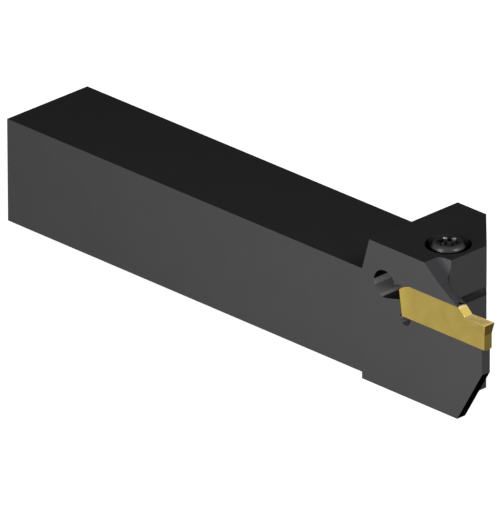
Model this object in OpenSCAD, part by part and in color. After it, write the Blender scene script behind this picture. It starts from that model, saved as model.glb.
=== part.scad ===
// Parting tool holder for a lathe: a square shank with a reinforced head, a spring jaw that one
// screw bends down, and a grooving insert held between V rails.
// The origin is in the middle of the shank's base. X runs along the shank to the cutting edge, Y
// runs away from the insert's side, and Z runs up. Each shape is drawn with Y measured from the
// insert's side, and moved so that the origin is half a shank's width in from there.

/* [Shank] */
// Height of the shank, from its base to its top
shank_h = 25; // [22:1:32]
// Width of the shank, from the insert's side to the far side
shank_w = 25; // [20:1:32]
// Overall length, from the rear end to the cutting edge
overall_len = 150; // [120:5:200]

/* [Head] */
// Length of the head, from its rear shoulder to the cutting edge
head_len = 38; // [37:0.5:46]
// Height of the head above the shank's top
head_rise = 7.7; // [7:0.1:10]
// Depth of the head below the shank's base
head_drop = 1.6; // [0.5:0.1:4]
// How far the head stands out past the shank's far side
head_overhang = 2.5; // [0.5:0.1:6]
// Slope of the shoulder behind the head's top, from level
shoulder_angle = 74; // [60:1:85]
// Distance from the cutting edge back to the block's front face
block_setback = 15.4; // [14:0.1:17]
// Size of the 45 degree cut across the block's far front corner
corner_cut = 11.6; // [6:0.1:13]

/* [Blade] */
// Thickness of the blade that carries the insert
blade_t = 2.5; // [2.3:0.05:2.8]
// Distance from the cutting edge back to the blade's front
blade_setback = 1.15; // [1:0.05:2]
// Height of the sloped nose at the blade's lower front
nose_h = 13; // [8:0.5:15]
// Slope of the nose, from upright
nose_angle = 30; // [15:1:40]
// Radius where the blade runs into the block
web_fillet_r = 2.3; // [1.5:0.1:3.5]

/* [Jaw] */
// Distance from the cutting edge back to the start of the jaw's swept top
jaw_start_setback = 18.8; // [18:0.1:20]
// Distance from the cutting edge back to the jaw's tip
jaw_tip_setback = 8.4; // [8:0.1:10]
// Radius of the hollow sweep along the jaw's top
jaw_sweep_r = 50; // [30:1:80]
// Radius at the foot of the wall beside the sweep
jaw_corner_r = 1.4; // [0.5:0.1:2.2]

/* [Slit] */
// Diameter of the relief hole that the jaw bends about
relief_d = 6.5; // [5.5:0.1:7.2]
// Distance from the insert's heel back to the relief hole's axis
relief_gap = 4.5; // [4:0.1:5]
// Distance from the cutting edge's height down to the relief hole's axis
relief_drop = 0.1; // [-0.5:0.1:0.8]
// Width of the slit under the jaw
slit_w = 2; // [1.6:0.1:2.4]
// Fall of the slit towards the front, from level
slit_angle = 2.6; // [1.4:0.2:5]
// Distance from the cutting edge's height down to the crest of the insert's stop
stop_drop = 2.25; // [2:0.05:3]
// Diameter of the relief under the insert's heel
corner_relief_d = 3.2; // [2:0.1:3.6]
// Distance from the heel's foot forward to that relief's axis
corner_relief_shift = 1.1; // [0.6:0.1:1.4]

/* [Insert] */
// Width of the cutting edge
edge_w = 3; // [2.9:0.1:4]
// Length of the insert, from its heel to the cutting edge
insert_len = 26.6; // [25:0.1:27]
// Width of the insert behind its cutting head
insert_body_w = 2.4; // [2:0.05:2.4]
// Distance from the shank's top down to the cutting edge
edge_drop = 1.4; // [0:0.1:2]
// Height of the insert's side edges above the cutting edge
rail_rise = 1.7; // [1:0.1:2]
// Depth of the insert's side edges below the cutting edge
rail_depth = 6.05; // [5.5:0.05:7]
// Height of the V ridge along the insert's top
top_ridge = 0.6; // [0.3:0.05:0.8]
// Height of the V ridge along the insert's underside
under_ridge = 0.35; // [0.2:0.05:0.6]
// Radius of the heel's rounded top
heel_r = 6.5; // [5:0.1:7]
// Lean of the heel, from upright
heel_angle = 8; // [2:1:12]
// Length of the rake face behind the cutting edge
rake_len = 6.5; // [5:0.1:7]
// Slope from the rake face up to the ridge, from level
ramp_angle = 56; // [40:1:65]
// Depth of the chip groove in the rake face
chip_groove_depth = 0.15; // [0.1:0.05:0.4]
// Flat land left behind the cutting edge
edge_land = 0.3; // [0.1:0.05:0.6]
// Flat land left along each side of the chip groove
side_land = 0.3; // [0.2:0.05:0.5]
// Height of the clearance faces under the cutting edge
clearance_h = 2.6; // [1.5:0.1:3.5]
// Angle of the front clearance face, from upright
front_clearance = 12; // [5:1:15]
// Taper of the cutting head from the edge back, for each side
side_taper = 2; // [0.5:0.5:3]

/* [Clamp screw] */
// Diameter of the screw's thread
screw_d = 5; // [4:0.5:5]
// Length of the screw under its head
screw_len = 20; // [14:1:20]
// Diameter of the screw's head
screw_head_d = 8.2; // [7.5:0.1:8.8]
// Height of the screw's head
screw_head_h = 5; // [4:0.1:5.5]
// Radius around the top of the screw's head
screw_edge_r = 1.1; // [0.3:0.1:1.2]
// Height of the screw's top above the holder's top
screw_proud = 0.6; // [0:0.1:1]
// Chamfer at the end of the thread
thread_chamfer = 0.6; // [0.3:0.1:1]
// Width of the six-lobe socket across its points
socket_d = 4.5; // [3.6:0.1:4.8]
// Depth of the socket
socket_depth = 2.6; // [1.5:0.1:3.2]
// Turn of the socket's points from the length of the holder
socket_turn = 35; // [0:1:59]
// Distance from the block's front face back to the screw's axis
screw_inset = 6.45; // [6.2:0.05:7.5]
// Distance from the insert's side of the head to the screw's axis
screw_offset = 10.45; // [10.3:0.05:13]

/* [Clearances] */
// Gap between the insert and its rails and stop
seat_gap = 0.02; // [0.01:0.01:0.05]
// Gap between the insert's back and the block
back_gap = 0.15; // [0.1:0.05:0.3]
// Gap over the insert's rounded heel
heel_gap = 0.25; // [0.15:0.05:0.4]
// Gap around the screw's thread, on the radius
thread_gap = 0.05; // [0.02:0.01:0.1]
// Gap around the screw's shank in the jaw, on the radius
shank_gap = 0.25; // [0.15:0.05:0.5]
// Gap around the screw's head in its counterbore, on the radius
head_gap = 1.1; // [0.5:0.05:1.2]
// Depth of the tapped hole past the screw's end
tap_runout = 2; // [1:0.5:3]

/* [Hidden] */
$fn = 96;
// Overlap that lets a cut pass a face
eps = 1;
// Facets around the large arcs that are turned about a line along Y, and around the chip groove
sweep_facets = 240;
groove_facets = 360;
// How far the throat behind the insert reaches past its heel, and how far below its top it ends
throat_reach = 0.5;
throat_drop = 0.4;
// Point angle of the drill that leaves the tapped hole's end
drill_point = 118;
// Size of the socket's flutes, and how far out their centres are, as shares of its radius
flute_size = 0.42;
flute_offset = 1.14;

shank_len = overall_len - head_len;
rear_x = -shank_len / 2;
shoulder_x = rear_x + shank_len;
edge_x = rear_x + overall_len;

head_top = shank_h + head_rise;
head_w = shank_w + head_overhang;
head_h = head_top + head_drop;
block_x = edge_x - block_setback;
blade_x = edge_x - blade_setback;
shoulder_run = head_rise / tan(shoulder_angle);
nose_run = nose_h * tan(nose_angle);
jaw_wall_y = blade_t + web_fillet_r;

edge_z = shank_h - edge_drop;
rail_top_z = edge_z + rail_rise;
rail_foot_z = edge_z - rail_depth;
mid_y = blade_t / 2;
body_half_w = insert_body_w / 2;

heel_x = edge_x - insert_len;
heel_round_z = rail_top_z - heel_r;
heel_round_x = heel_x + sqrt(pow(heel_r, 2) - pow(edge_z - heel_round_z, 2));
heel_foot_x = heel_x + rail_depth * tan(heel_angle);
seat_depth = mid_y + body_half_w + back_gap;

relief_x = heel_x - relief_gap;
relief_z = edge_z - relief_drop;
crest_z = edge_z - stop_drop;
crest_x = heel_x + stop_drop * tan(heel_angle) - seat_gap;
slit_fall = tan(slit_angle);
slit_rise = slit_w / cos(slit_angle);
throat_x = heel_x + throat_reach;
throat_z = rail_top_z - throat_drop;

screw_x = block_x - screw_inset;
screw_head_z = head_top + screw_proud;
screw_seat_z = screw_head_z - screw_head_h;
screw_end_z = screw_seat_z - screw_len;
socket_r = socket_d / 2;

// Point where a line from p touches the underside of a circle with centre c and radius r
function touch(c, r, p) =
    let (
        d = p - c,
        to_p = atan2(d[1], d[0]),
        spread = acos(r / norm(d))
    )
    c + r * [cos(to_p - spread), sin(to_p - spread)];

// Centre of a circle of radius r through a and b, on the left of the way from a to b
function arc_centre(a, b, r) =
    let (
        half = (b - a) / 2,
        reach = sqrt(pow(r, 2) - pow(norm(half), 2)),
        across = [-half[1], half[0]] / norm(half)
    )
    a + half + reach * across;

// Moves what is drawn from the insert's side to its place about the shank's middle
module in_place() {
    translate([0, -shank_w / 2, 0])
        children();
}

// Extrudes an outline drawn in X and Z between two places along Y
module between_y(y0, y1) {
    translate([0, y1, 0])
        rotate([90, 0, 0])
            linear_extrude(y1 - y0)
                children();
}

// Extrudes an outline drawn in Y and Z between two places along X
module between_x(x0, x1) {
    translate([x0, 0, 0])
        rotate([90, 0, 90])
            linear_extrude(x1 - x0)
                children();
}

// Turns an outline drawn in radius and Y about a line along Y
module turned_about_y(x, z) {
    translate([x, 0, z])
        rotate([-90, 0, 0])
            rotate_extrude($fn = sweep_facets)
                children();
}

// The head seen from above, with the fillet where the blade runs into the block
module head_plan() {
    polygon([
        [shoulder_x, 0],
        [blade_x, 0],
        [blade_x, blade_t],
        [block_x, blade_t],
        [block_x, head_w - corner_cut],
        [block_x - corner_cut, head_w],
        [shoulder_x, head_w]
    ]);
    translate([block_x, blade_t])
        difference() {
            square(web_fillet_r);
            translate([web_fillet_r, web_fillet_r])
                circle(web_fillet_r);
        }
}

// The head seen from the insert's side, with its rear shoulder and sloped nose
module head_side() {
    polygon([
        [shoulder_x, -head_drop],
        [blade_x - nose_run, -head_drop],
        [blade_x, nose_h - head_drop],
        [blade_x, head_top],
        [shoulder_x + shoulder_run, head_top],
        [shoulder_x, shank_h]
    ]);
}

module head_blank() {
    intersection() {
        translate([0, 0, -head_drop])
            linear_extrude(head_h)
                head_plan();
        between_y(-eps, head_w + eps)
            head_side();
    }
}

// Hollow sweep that a round wheel leaves along the jaw's top, with a rounded foot at its wall
module jaw_sweep() {
    start = [edge_x - jaw_start_setback, head_top];
    tip = [edge_x - jaw_tip_setback, rail_top_z];
    centre = arc_centre(start, tip, jaw_sweep_r);
    flat_y = jaw_wall_y - jaw_corner_r;
    turned_about_y(centre[0], centre[1]) {
        translate([0, -eps])
            square([jaw_sweep_r, flat_y + eps]);
        square([jaw_sweep_r - jaw_corner_r, jaw_wall_y]);
        translate([jaw_sweep_r - jaw_corner_r, flat_y])
            circle(jaw_corner_r);
    }
}

// Relief hole and the slit that runs from it to the front, through the whole head
module slit() {
    centre = [relief_x, relief_z];
    crest = [crest_x, crest_z];
    front_x = blade_x + eps;
    front_z = crest_z - (front_x - crest_x) * slit_fall;
    throat_foot_z = crest_z + slit_rise - (throat_x - crest_x) * slit_fall;
    translate([relief_x, head_w + eps, relief_z])
        rotate([90, 0, 0])
            cylinder(h = head_w + 2 * eps, d = relief_d);
    between_y(-eps, head_w + eps)
        polygon([
            centre,
            touch(centre, relief_d / 2, crest),
            crest,
            [front_x, front_z],
            [front_x, front_z + slit_rise],
            [throat_x, throat_foot_z],
            [throat_x, throat_z]
        ]);
}

// Section of the insert's body or its seat, grown by gap where they meet and open to both sides
module rail_section(half_w, gap) {
    slope_top = top_ridge / body_half_w;
    slope_under = under_ridge / body_half_w;
    polygon([
        [mid_y - half_w, rail_foot_z - gap + (half_w - body_half_w) * slope_under],
        [mid_y, rail_foot_z - under_ridge - gap],
        [mid_y + half_w, rail_foot_z - gap + (half_w - body_half_w) * slope_under],
        [mid_y + half_w, rail_top_z + gap - (half_w - body_half_w) * slope_top],
        [mid_y, rail_top_z + top_ridge + gap],
        [mid_y - half_w, rail_top_z + gap - (half_w - body_half_w) * slope_top]
    ]);
}

// What the heel's rounded top takes off a rail section that runs straight
module heel_round(half_w, gap, grow) {
    difference() {
        translate([heel_x - 2 * eps, mid_y - half_w - eps, heel_round_z])
            cube([heel_round_x - heel_x + 2 * eps, 2 * half_w + 2 * eps, 2 * heel_r]);
        turned_about_y(heel_round_x, heel_round_z)
            intersection() {
                translate([grow, 0])
                    rotate(-90)
                        mirror([1, 0])
                            translate([0, -heel_round_z])
                                rail_section(half_w, gap);
                translate([0, mid_y - half_w])
                    square([2 * heel_r, 2 * half_w]);
            }
    }
}

// The heel's leaning end, drawn in X and Z and moved back by gap
module ahead_of_heel(gap) {
    foot_z = rail_foot_z - 2 * eps;
    top_z = rail_top_z + 2 * eps;
    polygon([
        [heel_x + (edge_z - foot_z) * tan(heel_angle) - gap, foot_z],
        [edge_x + eps, foot_z],
        [edge_x + eps, top_z],
        [heel_x + (edge_z - top_z) * tan(heel_angle) - gap, top_z]
    ]);
}

module seat() {
    half_w = seat_depth - mid_y;
    intersection() {
        difference() {
            between_x(heel_x - eps, edge_x + eps)
                rail_section(half_w, seat_gap);
            heel_round(half_w, seat_gap, heel_gap);
        }
        between_y(-seat_depth, 2 * seat_depth)
            ahead_of_heel(seat_gap);
    }
    translate([heel_foot_x + corner_relief_shift, seat_depth, rail_foot_z - under_ridge])
        rotate([90, 0, 0])
            cylinder(h = seat_depth + eps, d = corner_relief_d);
}

// Counterbore and clearance hole in the jaw, and the tapped hole below the slit
module screw_hole() {
    tap_r = screw_d / 2 + thread_gap;
    tap_end_z = screw_end_z - tap_runout;
    slit_mid_z = crest_z + slit_rise / 2 - (screw_x - crest_x) * slit_fall;
    point_h = tap_r / tan(drill_point / 2);
    translate([screw_x, screw_offset, 0]) {
        translate([0, 0, screw_seat_z])
            cylinder(h = head_top - screw_seat_z + eps, r = screw_head_d / 2 + head_gap);
        translate([0, 0, slit_mid_z])
            cylinder(h = screw_seat_z - slit_mid_z + eps, r = screw_d / 2 + shank_gap);
        translate([0, 0, tap_end_z])
            cylinder(h = slit_mid_z - tap_end_z, r = tap_r);
        translate([0, 0, tap_end_z - point_h])
            cylinder(h = point_h, r1 = 0, r2 = tap_r);
    }
}

module holder_body() {
    color("#3f3f41")
        in_place()
            difference() {
                union() {
                    translate([rear_x, 0, 0])
                        cube([shank_len + eps, shank_w, shank_h]);
                    head_blank();
                }
                jaw_sweep();
                slit();
                seat();
                screw_hole();
            }
}

// Six-lobe outline: a disc with six round flutes cut between its points
module six_lobe() {
    flute_r = socket_r * flute_size;
    difference() {
        circle(socket_r);
        for (i = [0:5])
            rotate(60 * i + 30)
                translate([socket_r * flute_offset, 0])
                    circle(flute_r);
    }
}

module clamp_screw() {
    head_r = screw_head_d / 2;
    color("#5a5a5c")
        in_place()
            translate([screw_x, screw_offset, 0])
                difference() {
                    rotate_extrude() {
                        translate([0, screw_seat_z])
                            square([head_r, screw_head_h - screw_edge_r]);
                        translate([0, screw_seat_z])
                            square([head_r - screw_edge_r, screw_head_h]);
                        translate([head_r - screw_edge_r, screw_head_z - screw_edge_r])
                            intersection() {
                                circle(screw_edge_r);
                                square(screw_edge_r);
                            }
                        polygon([
                            [0, screw_end_z],
                            [screw_d / 2 - thread_chamfer, screw_end_z],
                            [screw_d / 2, screw_end_z + thread_chamfer],
                            [screw_d / 2, screw_seat_z + eps],
                            [0, screw_seat_z + eps]
                        ]);
                    }
                    translate([0, 0, screw_head_z - socket_depth])
                        rotate(socket_turn)
                            linear_extrude(socket_depth + eps)
                                six_lobe();
                }
}

// The insert seen from its side: ridge, ramp, rake face and front clearance
module insert_side() {
    ramp_top_z = rail_top_z + top_ridge + eps;
    ramp_run = (ramp_top_z - edge_z) / tan(ramp_angle);
    clearance_run = clearance_h * tan(front_clearance);
    ramp_foot_x = edge_x - rake_len;
    foot_z = rail_foot_z - under_ridge - eps;
    polygon([
        [heel_x - eps, foot_z],
        [edge_x - clearance_run, foot_z],
        [edge_x - clearance_run, edge_z - clearance_h],
        [edge_x, edge_z],
        [ramp_foot_x, edge_z],
        [ramp_foot_x - ramp_run, ramp_top_z],
        [heel_x - eps, ramp_top_z]
    ]);
}

// Hollow in the rake face that curls the chip, with a land left along the edge and both sides
module chip_groove() {
    start = [edge_x - rake_len, edge_z];
    end = [edge_x - edge_land, edge_z];
    chord = end[0] - start[0];
    groove_r = pow(chord, 2) / (8 * chip_groove_depth) + chip_groove_depth / 2;
    half_w = edge_w / 2 - rake_len * tan(side_taper) - side_land;
    between_y(mid_y - half_w, mid_y + half_w)
        intersection() {
            translate(arc_centre(start, end, groove_r))
                circle(groove_r, $fn = groove_facets);
            translate(start - [0, eps])
                square([chord, 2 * eps]);
        }
}

// The cutting head, wider than the body at its edge and tapered back and down
module cutting_head() {
    half_w = edge_w / 2;
    back_x = edge_x - rake_len - eps;
    back_half_w = half_w - (edge_x - back_x) * tan(side_taper);
    intersection() {
        translate([0, 0, rail_foot_z])
            linear_extrude(rail_depth + rail_rise)
                polygon([
                    [back_x, mid_y - back_half_w],
                    [edge_x, mid_y - half_w],
                    [edge_x, mid_y + half_w],
                    [back_x, mid_y + back_half_w]
                ]);
        between_x(back_x, edge_x)
            polygon([
                [mid_y - body_half_w, rail_foot_z],
                [mid_y - body_half_w, edge_z - clearance_h],
                [mid_y - half_w, edge_z],
                [mid_y + half_w, edge_z],
                [mid_y + body_half_w, edge_z - clearance_h],
                [mid_y + body_half_w, rail_foot_z]
            ]);
    }
}

module cutting_insert() {
    color("#c9a94f")
        in_place()
            difference() {
                intersection() {
                    union() {
                        difference() {
                            between_x(heel_x - eps, edge_x)
                                rail_section(body_half_w, 0);
                            heel_round(body_half_w, 0, 0);
                        }
                        cutting_head();
                    }
                    between_y(mid_y - edge_w, mid_y + edge_w)
                        insert_side();
                    between_y(mid_y - edge_w, mid_y + edge_w)
                        ahead_of_heel(0);
                }
                chip_groove();
            }
}

holder_body();
clamp_screw();
cutting_insert();
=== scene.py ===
import math

import bmesh
import bpy
from mathutils import Matrix, Vector


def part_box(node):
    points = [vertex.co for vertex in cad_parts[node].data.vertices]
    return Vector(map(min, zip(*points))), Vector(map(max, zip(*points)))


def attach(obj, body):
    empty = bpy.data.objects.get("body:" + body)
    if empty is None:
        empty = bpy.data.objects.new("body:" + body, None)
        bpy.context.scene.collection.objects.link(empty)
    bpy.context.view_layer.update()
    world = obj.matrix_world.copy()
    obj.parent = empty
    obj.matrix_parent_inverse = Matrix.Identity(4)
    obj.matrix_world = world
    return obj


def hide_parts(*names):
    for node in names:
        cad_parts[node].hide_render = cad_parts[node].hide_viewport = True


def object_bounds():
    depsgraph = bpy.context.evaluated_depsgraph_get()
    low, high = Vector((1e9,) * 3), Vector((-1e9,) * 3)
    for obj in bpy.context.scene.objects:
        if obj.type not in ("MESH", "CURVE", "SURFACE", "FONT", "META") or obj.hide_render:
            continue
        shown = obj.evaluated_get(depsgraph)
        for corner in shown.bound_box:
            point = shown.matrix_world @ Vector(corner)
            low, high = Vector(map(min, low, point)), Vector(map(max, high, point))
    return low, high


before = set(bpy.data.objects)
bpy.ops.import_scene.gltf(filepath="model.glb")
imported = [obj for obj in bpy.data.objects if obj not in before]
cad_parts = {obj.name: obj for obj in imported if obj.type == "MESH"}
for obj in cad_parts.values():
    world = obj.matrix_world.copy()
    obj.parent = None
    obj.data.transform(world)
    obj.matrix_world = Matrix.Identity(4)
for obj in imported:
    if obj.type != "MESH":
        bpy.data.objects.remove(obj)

cad_low, cad_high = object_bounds()


# Holder body. One piece of hardened tool steel: a ground shank, and a head milled with its blade,
# spring jaw, slit and bores. It is black oxidised all over, and its edges are only just broken.
MM = 0.001
edge_break = 0.12 * MM
sharp_angle = math.radians(25)
flat_angle = math.radians(0.3)
merge_distance = 0.002 * MM
widest_facet = 0.9 * MM
mottle_size = 9 * MM
lay_depth = 0.003 * MM
lay_roughness = 0.05

# A Mix node repeats its sockets' names for each type of data, so those for colour go by number
mix_share, mix_under, mix_over, mix_result = 0, 6, 7, 2


def srgb(code):
    """A colour written as sRGB hex, turned to the linear colour that shaders take."""
    parts = [int(code[i:i + 2], 16) / 255 for i in (1, 3, 5)]
    linear = [c / 12.92 if c <= 0.04045 else ((c + 0.055) / 1.055) ** 2.4 for c in parts]
    return (*linear, 1)


def add_node(tree, kind, settings=None, values=None, links=None):
    """Adds a node, sets its properties and its inputs' values, and links outputs to its inputs."""
    node = tree.nodes.new(kind)
    for name, setting in (settings or {}).items():
        setattr(node, name, setting)
    for name, value in (values or {}).items():
        node.inputs[name].default_value = value
    for name, output in (links or {}).items():
        tree.links.new(output, node.inputs[name])
    return node


def merged_copy(source):
    """A copy of a frame piece's mesh with its loose triangles joined into whole faces."""
    bm = bmesh.new()
    bm.from_mesh(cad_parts[source].data)
    bmesh.ops.remove_doubles(bm, verts=bm.verts, dist=merge_distance)
    bmesh.ops.dissolve_limit(bm, angle_limit=flat_angle, verts=bm.verts, edges=bm.edges)
    return bm


def is_arc_facet(face):
    """Whether a face is one of the narrow facets that an arc is made of."""
    shallow = [
        edge for edge in face.edges
        if len(edge.link_faces) == 2 and edge.calc_face_angle() < sharp_angle
    ]
    if not shallow:
        return False
    longest = max(edge.calc_length() for edge in shallow)
    return face.calc_area() / longest < widest_facet


def break_edges(bm, width):
    """Bevels sharp edges, shades the bevels and the arcs' facets smooth, and gives the bevels."""
    for face in bm.faces:
        face.smooth = is_arc_facet(face)
    sharp = [edge for edge in bm.edges if edge.calc_face_angle(0) > sharp_angle]
    made = bmesh.ops.bevel(
        bm, geom=sharp, offset=width, offset_type="OFFSET", segments=2, profile=0.5,
        affect="EDGES", material=-1, clamp_overlap=True
    )
    for face in made["faces"]:
        face.smooth = True
    return made["faces"]


def finished_piece(bm, name, body, node, finishes):
    """Makes an object of a mesh, and puts it in its CAD node's place on its body."""
    mesh = bpy.data.meshes.new(name)
    bm.to_mesh(mesh)
    bm.free()
    for finish in finishes:
        mesh.materials.append(finish)
    piece = bpy.data.objects.new(name, mesh)
    bpy.context.scene.collection.objects.link(piece)
    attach(piece, body)
    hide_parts(node)


def black_oxide(name, code_low, code_high, metallic, roughness, lay_mm):
    """Black oxide on steel: a thin porous magnetite layer, dull and faintly mottled.

    It shows the lay of the machining under it. The real lay is some hundredths of a millimetre
    wide, too fine to show, so it is drawn coarser: lay_mm gives its length along X and its width.
    """
    material = bpy.data.materials.new(name)
    material.use_nodes = True
    tree = material.node_tree
    shader = tree.nodes["Principled BSDF"]
    shader.inputs["Metallic"].default_value = metallic
    shader.inputs["Specular IOR Level"].default_value = 0
    shader.inputs["Specular Tint"].default_value = (0, 0, 0, 1)
    place = add_node(tree, "ShaderNodeTexCoord").outputs["Object"]
    mottle = add_node(
        tree, "ShaderNodeTexNoise", {"noise_dimensions": "3D"},
        {"Scale": 1 / mottle_size, "Detail": 3, "Roughness": 0.55}, {"Vector": place}
    ).outputs[0]
    colour = add_node(
        tree, "ShaderNodeMix", {"data_type": "RGBA"},
        {mix_under: srgb(code_low), mix_over: srgb(code_high)}, {mix_share: mottle}
    ).outputs[mix_result]
    tree.links.new(colour, shader.inputs["Base Color"])
    along, across = lay_mm
    stretched = add_node(
        tree, "ShaderNodeMapping", {},
        {"Scale": (1 / (along * MM), 1 / (across * MM), 1 / (across * MM))}, {"Vector": place}
    ).outputs[0]
    lay = add_node(
        tree, "ShaderNodeTexNoise", {"noise_dimensions": "3D"},
        {"Scale": 1, "Detail": 2, "Roughness": 0.5}, {"Vector": stretched}
    ).outputs[0]
    spread = add_node(
        tree, "ShaderNodeMapRange", {},
        {"To Min": roughness - lay_roughness, "To Max": roughness + lay_roughness}, {"Value": lay}
    ).outputs[0]
    tree.links.new(spread, shader.inputs["Roughness"])
    bump = add_node(
        tree, "ShaderNodeBump", {}, {"Strength": 0.25, "Distance": lay_depth}, {"Height": lay}
    ).outputs[0]
    tree.links.new(bump, shader.inputs["Normal"])
    return material


def blend_colour(material, code, share):
    """Mixes a colour into a material's own, by a share that varies over the surface."""
    tree = material.node_tree
    base = tree.nodes["Principled BSDF"].inputs["Base Color"]
    under = base.links[0].from_socket
    mixed = add_node(
        tree, "ShaderNodeMix", {"data_type": "RGBA"}, {mix_over: srgb(code)},
        {mix_share: share, mix_under: under}
    ).outputs[mix_result]
    tree.links.new(mixed, base)


# Ground and oxidised: an even charcoal grey with a faint sheen, and the lay just seen along it
body_finish = black_oxide(
    "black oxide on ground tool steel", "#464646", "#4a4a4a", 0.55, 0.42, (6, 0.3)
)

# Painted light in the bores: pale grey bands round a wall, from where it stands upright to where
# it lies flat, by which way each part faces. Each has the lean at which it starts, in degrees up
# from facing +X.
painted_light_bands = [
    (start, black_oxide("painted light bands in the bores", low, high, 0.2, 0.5, (0.5, 4)))
    for start, low, high in (
        (-8, "#a2a2a3", "#aaaaab"),
        (22, "#767677", "#7e7e7f"),
        (62, "#8a8a8b", "#929293"),
    )
]

# Painted shade: a flat near black, put on the blade's nose, on the bores' upper walls, on the
# counterbore's wall away from the light and round the socket's mouth
painted_shade_finish = black_oxide(
    "painted near black shade", "#101010", "#161616", 0, 0.6, (0.5, 0.5)
)

# Milled with the side of a cutter: a shade bluer and duller than the ground faces
milled_finish = black_oxide(
    "black oxide in the milled sweep", "#47474a", "#4d4d50", 0.25, 0.6, (0.5, 0.5)
)

# The slit's oxide: grey at its mouths, with painted light that turns it pale some millimetres in,
# less so near the far mouth, and painted shade that darkens it near the relief bore and on its
# floor
painted_slit_finish = black_oxide(
    "black oxide on the cut slit with painted light and shade", "#424243", "#484849", 0.2, 0.5, (0.5, 0.5)
)
block_front_x = 78.6 * MM
painted_light_depth = 3 * MM
painted_light_power = 3
far_mouth_y = 4.8 * MM
far_mouth_depth = 2.5 * MM
far_mouth_share = 0.1
painted_shade_start_x = 70 * MM
painted_shade_full_x = 67.5 * MM
tree = painted_slit_finish.node_tree
place = add_node(tree, "ShaderNodeTexCoord").outputs["Object"]
split = add_node(tree, "ShaderNodeSeparateXYZ", {}, {}, {"Vector": place})
depth = add_node(
    tree, "ShaderNodeMapRange", {},
    {"From Min": block_front_x, "From Max": block_front_x - painted_light_depth},
    {"Value": split.outputs["X"]}
).outputs[0]
steep = add_node(
    tree, "ShaderNodeMath", {"operation": "POWER"}, {1: painted_light_power}, {0: depth}
).outputs[0]
painted_light_far_fade = add_node(
    tree, "ShaderNodeMapRange", {},
    {
        "From Min": far_mouth_y,
        "From Max": far_mouth_y - far_mouth_depth,
        "To Min": far_mouth_share,
    },
    {"Value": split.outputs["Y"]}
).outputs[0]
# Painted light: the slit turns paler some millimetres in from its front, less so near the far mouth
painted_light_share = add_node(
    tree, "ShaderNodeMath", {"operation": "MULTIPLY"}, {}, {0: steep, 1: painted_light_far_fade}
).outputs[0]
blend_colour(painted_slit_finish, "#cdcdcf", painted_light_share)
# Painted shade: the slit darkens towards the relief bore
painted_shade_share = add_node(
    tree, "ShaderNodeMapRange", {},
    {"From Min": painted_shade_start_x, "From Max": painted_shade_full_x}, {"Value": split.outputs["X"]}
).outputs[0]
blend_colour(painted_slit_finish, "#28282a", painted_shade_share)

# Bores along Y: x, z and radius in mm, the lean at which the painted light bands end, and the
# finish past it
bores_along_y = ((62.9, 23.5, 3.25, 80, painted_slit_finish), (69.35, 17.2, 1.6, 55, milled_finish))
wall_reach_mm = 0.1
wall_slope = 0.1

# Counterbore: its place and radius in mm, and the turns between which its wall faces the light
# and keeps the ground finish; the rest of its wall gets painted near-black shade
counterbore_x, counterbore_y, counterbore_r = 72.15, -2.05, 5.2
lit_turns = (-100, 8)

# The blade's raked nose, the slit's floor and ramp, and the sweep: limits of place in mm and slope
# The blade's raked nose faces down and gets the painted near-black shade
nose_rake = math.radians(30)
nose_normal = Vector((math.cos(nose_rake), 0, -math.sin(nose_rake)))
nose_match = 0.999
slit_floor_z = (20, 22.5)
slit_floor_slope = 0.96
sweep_rear_x, sweep_far_y, sweep_low_z = 75, -7.6, 25
sweep_slope = (0.1, 0.95)
side_face_slope = -0.99


def on_wall(first, second, radius, slope):
    """Whether a face is on a bore's wall: its two offsets from the axis, and its slope along it."""
    return abs(math.hypot(first, second) - radius) < wall_reach_mm and abs(slope) < wall_slope


def in_sweep(place, normal):
    """Whether a face is on the jaw's milled sweep, and on neither its side nor a level face."""
    inside = place.x > sweep_rear_x and place.y < sweep_far_y and place.z > sweep_low_z
    return inside and normal.y > side_face_slope and sweep_slope[0] < normal.z < sweep_slope[1]


def body_finish_at(face):
    """A face's finish: ground, milled, and painted light and shade in bores, slit, nose,
    counterbore.
    """
    place = face.calc_center_median() / MM
    normal = face.normal
    if normal.dot(nose_normal) > nose_match:
        return painted_shade_finish
    lean = math.degrees(math.atan2(normal.z, normal.x))
    for x, z, radius, last_lean, last_finish in bores_along_y:
        if on_wall(place.x - x, place.z - z, radius, normal.y):
            if lean >= last_lean:
                return last_finish
            reached = [finish for start, finish in painted_light_bands if lean > start]
            return reached[-1] if reached else painted_shade_finish
    # Painted shade on the counterbore's wall outside the turns that face the light
    if on_wall(place.x - counterbore_x, place.y - counterbore_y, counterbore_r, normal.z):
        turn = math.degrees(math.atan2(normal.y, normal.x))
        return body_finish if lit_turns[0] < turn < lit_turns[1] else painted_shade_finish
    if normal.z > slit_floor_slope and slit_floor_z[0] < place.z < slit_floor_z[1]:
        return painted_slit_finish
    return milled_finish if in_sweep(place, normal) else body_finish


body_finishes = [body_finish, painted_shade_finish, painted_slit_finish, milled_finish]
body_finishes += [finish for start, finish in painted_light_bands]
bm = merged_copy("holder_body")
break_edges(bm, edge_break)
for face in bm.faces:
    face.material_index = body_finishes.index(body_finish_at(face))
finished_piece(
    bm, "holder_body_finished", "holder", "holder_body", body_finishes
)


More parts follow.
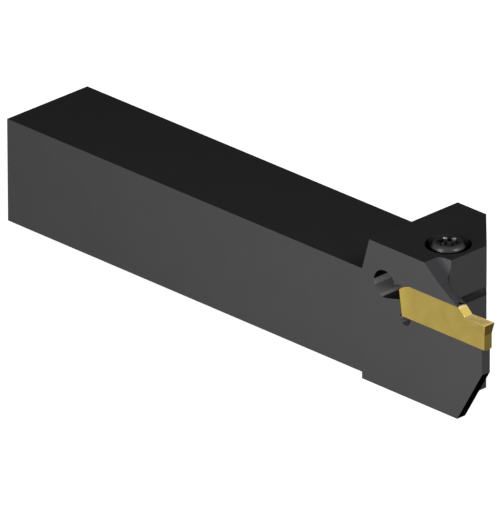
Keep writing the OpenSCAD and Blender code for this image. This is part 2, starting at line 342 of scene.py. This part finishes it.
# Clamp screw. An M5 screw turned from alloy steel, with a rolled thread, a cylindrical head with a
# rounded rim and a forged six-lobe socket. It is black oxidised after heat treatment.
screw_low, screw_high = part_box("clamp_screw")
screw_x = (screw_low.x + screw_high.x) / 2
screw_y = (screw_low.y + screw_high.y) / 2
head_r = (screw_high.x - screw_low.x) / 2
head_h = 5 * MM
rim_r = 1.1 * MM
rim_points = 8
seat_z = screw_high.z - head_h
under_chamfer = 0.15 * MM
under_ring_r = head_r - 3 * under_chamfer
thread_pitch = 0.8 * MM
crest_r = 2.48 * MM
root_r = 2.05 * MM
crest_w = 0.1 * MM
root_w = 0.2 * MM
runout = 1.4 * MM
end_chamfer = 0.6 * MM
socket_r = 2.25 * MM
socket_depth = 2.6 * MM
socket_mouth = 0.25 * MM
socket_point_h = 0.5 * MM
socket_point_r = 0.1 * MM
socket_turn = math.radians(35)
flute_r = 0.42 * socket_r
flute_out = 1.14 * socket_r
highlight_band_h = 0.45 * MM
head_steps = 144
thread_steps = 48
cut_tolerance = 0.0005 * MM
end_reach = 0.01 * MM
ring_reach = 0.001 * MM


def spun(bm, profile, axis, steps, turn, rise=0.0):
    """Turns a line of radius and height pairs about an upright axis, climbing by rise."""
    verts = [bm.verts.new((axis.x + r, axis.y, z)) for r, z in profile]
    edges = [bm.edges.new(pair) for pair in zip(verts, verts[1:])]
    bmesh.ops.spin(
        bm, geom=verts + edges, cent=axis, axis=(0, 0, 1), dvec=(0, 0, rise / steps),
        angle=turn, steps=steps, use_merge=rise == 0
    )


def open_edges(bm, z, reach):
    """The open edges of a mesh that lie within reach of a height."""
    return [
        edge for edge in bm.edges
        if len(edge.link_faces) == 1 and all(abs(vert.co.z - z) < reach for vert in edge.verts)
    ]


def from_axis(vert):
    """A point's distance from the screw's axis, and its direction about it."""
    across = vert.co - Vector((screw_x, screw_y, vert.co.z))
    return across.length, math.atan2(across.y, across.x)


def set_radius(vert, radius):
    """Moves a point to a radius from the screw's axis."""
    turn = from_axis(vert)[1]
    vert.co.x = screw_x + radius * math.cos(turn)
    vert.co.y = screw_y + radius * math.sin(turn)


def lobe_radius(turn):
    """Radius of the six-lobe outline: a disc with six round flutes cut between its points."""
    sixth = math.pi / 3
    off = (turn - socket_turn) % sixth - sixth / 2
    inside = flute_r ** 2 - (flute_out * math.sin(off)) ** 2
    if inside <= 0:
        return socket_r
    return min(socket_r, flute_out * math.cos(off) - math.sqrt(inside))


axis = Vector((screw_x, screw_y, 0))
bm = bmesh.new()

# Thread, rolled on a plain shank: a helix that runs out under the head, with a chamfered end
flank_w = (thread_pitch - crest_w - root_w) / 2
start_z = screw_low.z - thread_pitch
turns = math.ceil((seat_z - start_z) / thread_pitch) + 1
spun(
    bm,
    [
        (root_r, start_z),
        (root_r, start_z + root_w),
        (crest_r, start_z + root_w + flank_w),
        (crest_r, start_z + root_w + flank_w + crest_w),
        (root_r, start_z + thread_pitch),
    ],
    axis, thread_steps * turns, 2 * math.pi * turns, thread_pitch * turns
)
bmesh.ops.remove_doubles(bm, verts=bm.verts, dist=merge_distance)

# Cut to length, then filled out to the crest over the run-out's lower half, and chamfered
for z, clear_above in ((screw_low.z, False), (screw_low.z + end_chamfer, None), (seat_z, True)):
    bmesh.ops.bisect_plane(
        bm, geom=bm.verts[:] + bm.edges[:] + bm.faces[:], dist=cut_tolerance,
        plane_co=(0, 0, z), plane_no=(0, 0, 1),
        clear_outer=clear_above is True, clear_inner=clear_above is False
    )
for vert in bm.verts:
    radius = from_axis(vert)[0]
    above_end = vert.co.z - screw_low.z
    below_seat = seat_z - vert.co.z
    plain = min(1, max(0, 2 * (1 - below_seat / runout)))
    radius += (crest_r - radius) * plain
    set_radius(vert, min(radius, crest_r - end_chamfer + above_end))
bmesh.ops.holes_fill(bm, edges=open_edges(bm, screw_low.z, end_reach), sides=0)

# Head, turned: its underside, side and rounded rim
rim = [
    (
        head_r - rim_r + rim_r * math.cos(math.pi / 2 * i / rim_points),
        screw_high.z - rim_r + rim_r * math.sin(math.pi / 2 * i / rim_points),
    )
    for i in range(rim_points + 1)
]
spun(
    bm,
    [
        (under_ring_r, seat_z),
        (head_r - under_chamfer, seat_z),
        (head_r, seat_z + under_chamfer),
        *rim,
    ],
    axis, head_steps, 2 * math.pi
)
bmesh.ops.bridge_loops(bm, edges=open_edges(bm, seat_z, end_reach))


def drawn_in(bm, z, new_z, radius_at):
    """Extrudes the open ring at a height to another height and to a radius for each direction."""
    made = bmesh.ops.extrude_edge_only(bm, edges=open_edges(bm, z, ring_reach))
    for vert in made["geom"]:
        if isinstance(vert, bmesh.types.BMVert):
            vert.co.z = new_z
            set_radius(vert, radius_at(from_axis(vert)[1]))


# Socket, forged: the mouth's broken edge, the fluted wall and the punch's conical bottom
mouth_foot_z = screw_high.z - socket_mouth
highlight_band_z = mouth_foot_z - highlight_band_h
socket_foot_z = screw_high.z - socket_depth
point_z = socket_foot_z - socket_point_h
drawn_in(bm, screw_high.z, screw_high.z, lambda turn: lobe_radius(turn) + socket_mouth)
drawn_in(bm, screw_high.z, mouth_foot_z, lobe_radius)
drawn_in(bm, mouth_foot_z, highlight_band_z, lobe_radius)
drawn_in(bm, highlight_band_z, socket_foot_z, lobe_radius)
drawn_in(bm, socket_foot_z, point_z, lambda turn: socket_point_r)
bmesh.ops.holes_fill(bm, edges=open_edges(bm, point_z, ring_reach), sides=0)

bmesh.ops.recalc_face_normals(bm, faces=bm.faces)
for face in bm.faces:
    face.smooth = True
for edge in bm.edges:
    edge.smooth = edge.calc_face_angle(0) < sharp_angle

# Turned: a dark satin that draws the lamps out into narrow highlights round the rim
screw_finish = black_oxide(
    "black oxide on turned alloy steel", "#3c3c3e", "#424244", 1, 0.29, (0.5, 0.5)
)

# Faced: duller than the rim, so the head's top is as dark as the steel round it
faced_finish = black_oxide(
    "black oxide on the faced screw head", "#464647", "#4a4a4b", 0.55, 0.42, (0.5, 0.5)
)

# Painted light: the socket's lower walls are given a paler grey than the head
socket_painted_light = black_oxide(
    "painted light on the socket's lower walls", "#747476", "#7c7c7e", 0.4, 0.3, (0.3, 2)
)

# Painted highlight: small bright lands at the mouth, on one side of the socket; the rest of the
# mouth's band gets the painted near-black shade
socket_painted_highlight = black_oxide(
    "painted highlight at the socket's mouth", "#808082", "#8a8a8c", 0.3, 0.35, (0.3, 2)
)
# The painted highlight's direction about the axis, its spread, and the radius it starts at
highlight_turn = math.radians(125)
highlight_reach = math.radians(62)
highlight_inner_r = 0.87 * socket_r
faced_slope = 0.9


def screw_finish_at(face):
    """A face's finish: the turned head, thread and faced top, and the socket's painted light and
    shade.
    """
    middle = face.calc_center_median()
    across = middle - axis
    across.z = 0
    if face.normal.z > faced_slope:
        return faced_finish
    if across.length > socket_r + socket_mouth or middle.z < socket_foot_z:
        return screw_finish
    if middle.z < highlight_band_z:
        return socket_painted_light
    turn = math.atan2(across.y, across.x)
    from_highlight = abs((turn - highlight_turn + math.pi) % (2 * math.pi) - math.pi)
    if from_highlight < highlight_reach and across.length > highlight_inner_r:
        return socket_painted_highlight
    return painted_shade_finish


screw_finishes = [screw_finish, socket_painted_light, socket_painted_highlight, painted_shade_finish, faced_finish]
for face in bm.faces:
    face.material_index = screw_finishes.index(screw_finish_at(face))
finished_piece(bm, "clamp_screw_finished", "screw", "clamp_screw", screw_finishes)


# Cutting insert. Sintered tungsten carbide, pressed with V ridges along its top and underside and
# ground at its front, then coated with gold titanium nitride.
insert_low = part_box("cutting_insert")[0]
insert_edge = 0.18 * MM
patch_size = 4 * MM
grain_size = 0.25 * MM
grain_depth = 0.004 * MM
grain_roughness = 0.06


def nitride(name, code_low, code_high, roughness):
    """Gold nitride coating over the fine grain of sintered carbide.

    The real grain is about a thousandth of a millimetre, too fine to show, so it is drawn as
    coarse as grain_size, about a pixel.
    """
    material = bpy.data.materials.new(name)
    material.use_nodes = True
    tree = material.node_tree
    shader = tree.nodes["Principled BSDF"]
    shader.inputs["Metallic"].default_value = 0.5
    shader.inputs["Specular IOR Level"].default_value = 0.1
    shader.inputs["Specular Tint"].default_value = srgb("#d8c070")
    place = add_node(tree, "ShaderNodeTexCoord").outputs["Object"]
    patches = add_node(
        tree, "ShaderNodeTexNoise", {"noise_dimensions": "3D"},
        {"Scale": 1 / patch_size, "Detail": 3, "Roughness": 0.5}, {"Vector": place}
    ).outputs[0]
    spread = add_node(
        tree, "ShaderNodeMapRange", {},
        {"From Min": 0.3, "From Max": 0.7}, {"Value": patches}
    ).outputs[0]
    colour = add_node(
        tree, "ShaderNodeMix", {"data_type": "RGBA"},
        {mix_under: srgb(code_low), mix_over: srgb(code_high)}, {mix_share: spread}
    ).outputs[mix_result]
    tree.links.new(colour, shader.inputs["Base Color"])
    grain = add_node(
        tree, "ShaderNodeTexNoise", {"noise_dimensions": "3D"},
        {"Scale": 1 / grain_size, "Detail": 2, "Roughness": 0.6}, {"Vector": place}
    ).outputs[0]
    rough = add_node(
        tree, "ShaderNodeMapRange", {},
        {"To Min": roughness - grain_roughness, "To Max": roughness + grain_roughness},
        {"Value": grain}
    ).outputs[0]
    tree.links.new(rough, shader.inputs["Roughness"])
    bump = add_node(
        tree, "ShaderNodeBump", {}, {"Strength": 0.3, "Distance": grain_depth}, {"Height": grain}
    ).outputs[0]
    tree.links.new(bump, shader.inputs["Normal"])
    return material


# Pressed and coated: an even satin gold, patchy by a shade, and warmer towards the tail
coated = nitride("gold nitride on pressed carbide", "#927f41", "#9a8949", 0.38)
tail_glow = 4.5 * MM
tree = coated.node_tree
place = add_node(tree, "ShaderNodeTexCoord").outputs["Object"]
split = add_node(tree, "ShaderNodeSeparateXYZ", {}, {}, {"Vector": place})
tail_share = add_node(
    tree, "ShaderNodeMapRange", {},
    {"From Min": insert_low.x + tail_glow, "From Max": insert_low.x}, {"Value": split.outputs["X"]}
).outputs[0]
blend_colour(coated, "#aa9448", tail_share)

# Painted highlight: the chip ramp's face, a bright yellow gold
ramp_painted_highlight = nitride("painted highlight on the chip ramp", "#e2c664", "#ecd070", 0.32)

# Painted highlight: the ramp's rounded shoulder, a pale straw strip
shoulder_painted_highlight = nitride("painted highlight on the ramp's shoulder", "#f4e2a8", "#fcecb8", 0.32)

# Painted light: the chip groove behind the cutting edge, a soft pale gold
groove_painted_light = nitride("painted light on the chip groove", "#dac178", "#e4ce86", 0.32)

# Painted shade: the ground front, a brown darker than the coating
ground = nitride("painted shade on the insert's front", "#6e5e2c", "#7c6b38", 0.4)

# Painted shade: the fine ground clearance under the cutting edge, which faces down, a dark olive
clearance = nitride("painted shade on the front clearance", "#4c3f08", "#56480e", 0.4)

# Painted highlight: thin pale lines on the edges' bevels
edge_painted_highlight = nitride("painted highlight on the insert's edges", "#dac888", "#e6d698", 0.35)

# The upper ridge runs out just ahead of the jaw's tip, and the ramp falls flatter than the solid's
edge_z = 23.6 * MM
rail_top_z = 25.3 * MM
ridge_end_x = 83 * MM
ridge_gone_x = 83.3 * MM
ridge_between_x = 83.2 * MM
ramp_rear_x = 84 * MM
ramp_foot_x = 87.5 * MM
ramp_foot_clear = 0.5 * MM
ramp_angle = math.radians(42)
ramp_top_x = ramp_foot_x - (rail_top_z - edge_z) / math.tan(ramp_angle)
shoulder_w = 0.4 * MM
bm = merged_copy("cutting_insert")
for x in (ridge_end_x, ridge_gone_x):
    bmesh.ops.bisect_plane(
        bm, geom=bm.verts[:] + bm.edges[:] + bm.faces[:], dist=cut_tolerance,
        plane_co=(x, 0, 0), plane_no=(1, 0, 0)
    )
for vert in bm.verts:
    if vert.co.x > ridge_between_x:
        vert.co.z = min(vert.co.z, rail_top_z)
    if ramp_rear_x < vert.co.x < ramp_foot_x - ramp_foot_clear and vert.co.z > edge_z:
        vert.co.x = ramp_foot_x - (vert.co.z - edge_z) / math.tan(ramp_angle)
bmesh.ops.remove_doubles(bm, verts=bm.verts, dist=merge_distance)
bmesh.ops.dissolve_degenerate(bm, dist=merge_distance, edges=bm.edges)
bmesh.ops.connect_verts_nonplanar(bm, angle_limit=math.radians(1), faces=bm.faces)
bmesh.ops.dissolve_limit(bm, angle_limit=flat_angle, verts=bm.verts, edges=bm.edges)

# The shoulder between the ridge's flat and the ramp is rounded, and then all edges are honed
shoulder = [
    edge for edge in bm.edges
    if all(
        abs(vert.co.x - ramp_top_x) < merge_distance
        and abs(vert.co.z - rail_top_z) < merge_distance
        for vert in edge.verts
    )
]
bmesh.ops.bevel(
    bm, geom=shoulder, offset=shoulder_w, offset_type="OFFSET", segments=3, profile=0.5,
    affect="EDGES", material=-1, clamp_overlap=True
)
edge_faces = break_edges(bm, insert_edge)
front_slope = 0.95
clearance_slope = -0.1
upward_slope = 0.5
ramp_slope = math.cos(0.9 * ramp_angle)


def insert_finish_at(face):
    """A face's finish: coated, with painted shade at the front and painted light on groove and
    ramp.
    """
    normal = face.normal
    x = face.calc_center_median().x
    if normal.x > front_slope:
        return clearance if normal.z < clearance_slope else ground
    if normal.z > upward_slope and x > ramp_foot_x:
        return groove_painted_light
    if normal.z > upward_slope and x > ramp_top_x - shoulder_w:
        return ramp_painted_highlight if normal.z < ramp_slope else shoulder_painted_highlight
    return coated


insert_finishes = [coated, ramp_painted_highlight, ground, edge_painted_highlight, clearance, groove_painted_light, shoulder_painted_highlight]
for face in bm.faces:
    face.material_index = insert_finishes.index(insert_finish_at(face))
# The edges' bevels get the painted highlight
for face in edge_faces:
    face.material_index = insert_finishes.index(edge_painted_highlight)
bmesh.ops.remove_doubles(bm, verts=bm.verts, dist=merge_distance)
finished_piece(
    bm, "cutting_insert_finished", "insert", "cutting_insert", insert_finishes
)


# Studio. A matt white table that shows white to the camera and in reflections, soft boxes low at
# the side, behind and above, and the camera of the picture.
floor_size = 4
floor_drop = 0.01 * MM
bm = bmesh.new()
bmesh.ops.create_grid(bm, x_segments=1, y_segments=1, size=floor_size)
bmesh.ops.translate(bm, verts=bm.verts, vec=(0, 0, cad_low.z - floor_drop))
floor_mesh = bpy.data.meshes.new("floor")
bm.to_mesh(floor_mesh)
bm.free()
floor = bpy.data.objects.new("floor", floor_mesh)
bpy.context.scene.collection.objects.link(floor)


def seen_directly(tree):
    """One where the camera, a reflection or a refraction looks, and nought for scattered light."""
    path = add_node(tree, "ShaderNodeLightPath")
    either = add_node(
        tree, "ShaderNodeMath", {"operation": "MAXIMUM"}, {},
        {0: path.outputs["Is Camera Ray"], 1: path.outputs["Is Glossy Ray"]}
    ).outputs[0]
    return add_node(
        tree, "ShaderNodeMath", {"operation": "MAXIMUM"}, {},
        {0: either, 1: path.outputs["Is Transmission Ray"]}
    ).outputs[0]


# Matt white board: white with a soft shadow to the eye, and dim to the object, so that little
# light comes up from it
table = bpy.data.materials.new("matt white table")
table.use_nodes = True
tree = table.node_tree
tree.nodes.clear()
shaded = add_node(tree, "ShaderNodeBsdfDiffuse", {}, {"Color": srgb("#cccccc")}).outputs[0]
white = add_node(tree, "ShaderNodeEmission", {}, {"Color": (1, 1, 1, 1), "Strength": 0.93})
lifted = add_node(tree, "ShaderNodeAddShader", {}, {}, {0: shaded, 1: white.outputs[0]}).outputs[0]
dim = add_node(tree, "ShaderNodeBsdfDiffuse", {}, {"Color": srgb("#303030")}).outputs[0]
choice = add_node(
    tree, "ShaderNodeMixShader", {}, {}, {0: seen_directly(tree), 1: dim, 2: lifted}
).outputs[0]
add_node(tree, "ShaderNodeOutputMaterial", {}, {}, {"Surface": choice})
floor.data.materials.append(table)

# White to the eye and in reflections, and a faint even light on the object
world = bpy.data.worlds.new("white room")
world.use_nodes = True
tree = world.node_tree
tree.nodes.clear()
room = add_node(tree, "ShaderNodeBackground", {}, {"Color": (1, 1, 1, 1), "Strength": 0.03})
white = add_node(tree, "ShaderNodeBackground", {}, {"Color": (1, 1, 1, 1), "Strength": 1})
choice = add_node(
    tree, "ShaderNodeMixShader", {}, {},
    {0: seen_directly(tree), 1: room.outputs[0], 2: white.outputs[0]}
).outputs[0]
add_node(tree, "ShaderNodeOutputWorld", {}, {}, {"Surface": choice})
bpy.context.scene.world = world


def soft_box(name, place, aim, width, height, level):
    """A rectangular lamp; at level 1 a face at its aim that faces it renders in its own colour."""
    place, aim = Vector(place) * MM, Vector(aim) * MM
    lamp = bpy.data.lights.new(name, "AREA")
    lamp.shape = "RECTANGLE"
    lamp.size = width * MM
    lamp.size_y = height * MM
    lamp.energy = level * math.pi ** 2 * (place - aim).length_squared
    lamp_object = bpy.data.objects.new(name, lamp)
    bpy.context.scene.collection.objects.link(lamp_object)
    lamp_object.location = place
    lamp_object.rotation_euler = (place - aim).to_track_quat("Z", "Y").to_euler()


# Each box's place, aim, width and height in mm, and its level
soft_box("side box", (80, -312, 40), (180, -12, 15), 160, 120, 1.12)
soft_box("front box", (600, 40, 120), (79, 0, 20), 160, 120, 0.05)
soft_box("left top box", (-25, -325, 380), (75, 0, 15), 120, 220, 0.235)
soft_box("right top box", (385, 110, 390), (75, 0, 15), 120, 220, 0.27)
soft_box("slope box", (405, 378, 345), (75, 0, 15), 160, 160, 0.015)
soft_box("back box", (-385, 581, 36), (0, 0, 15), 250, 120, 0.7)

# The camera stands far off with a long lens, and is aimed and turned as the picture's was
target = Vector((15.02, -6.487, 10.977)) * MM
azimuth = math.radians(45.385)
elevation = math.radians(24.889)
roll = math.radians(-0.139)
distance = 3545.5 * MM
camera_data = bpy.data.cameras.new("picture camera")
camera_data.sensor_width = 36
camera_data.lens = 1100.3
camera_data.clip_end = 20
camera = bpy.data.objects.new("picture camera", camera_data)
bpy.context.scene.collection.objects.link(camera)
way = Vector((
    math.sin(azimuth) * math.cos(elevation),
    -math.cos(azimuth) * math.cos(elevation),
    math.sin(elevation),
))
camera.matrix_world = (
    Matrix.Translation(target + way * distance)
    @ way.to_track_quat("Z", "Y").to_matrix().to_4x4()
    @ Matrix.Rotation(roll, 4, "Z")
)
bpy.context.scene.camera = camera
bpy.context.scene.view_settings.view_transform = "Standard"
